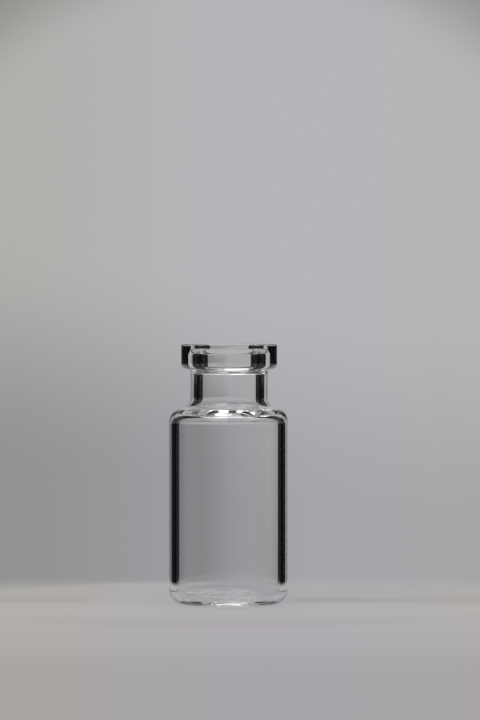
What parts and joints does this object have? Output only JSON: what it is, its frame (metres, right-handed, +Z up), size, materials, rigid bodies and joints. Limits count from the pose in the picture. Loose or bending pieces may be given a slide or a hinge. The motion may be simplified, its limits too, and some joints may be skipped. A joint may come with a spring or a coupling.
{
  "type": "glass sample vial",
  "caption": "Small open round vial of clear glass with a low shoulder, a narrow neck and a crimping flange whose grooved mouth holds a plug stopper.",
  "frame": {"origin": "middle of the foot, on the surface that the vial stands on", "axes": "+Z up along the vial's axis and out of its mouth"},
  "size_m": [0.016, 0.016, 0.035],
  "materials": {
    "clear_glass": "colourless clear glass, fire-polished and glossy all over"
  },
  "bodies": {
    "root": {"vial": "clear_glass"}
  },
  "joints": []
}
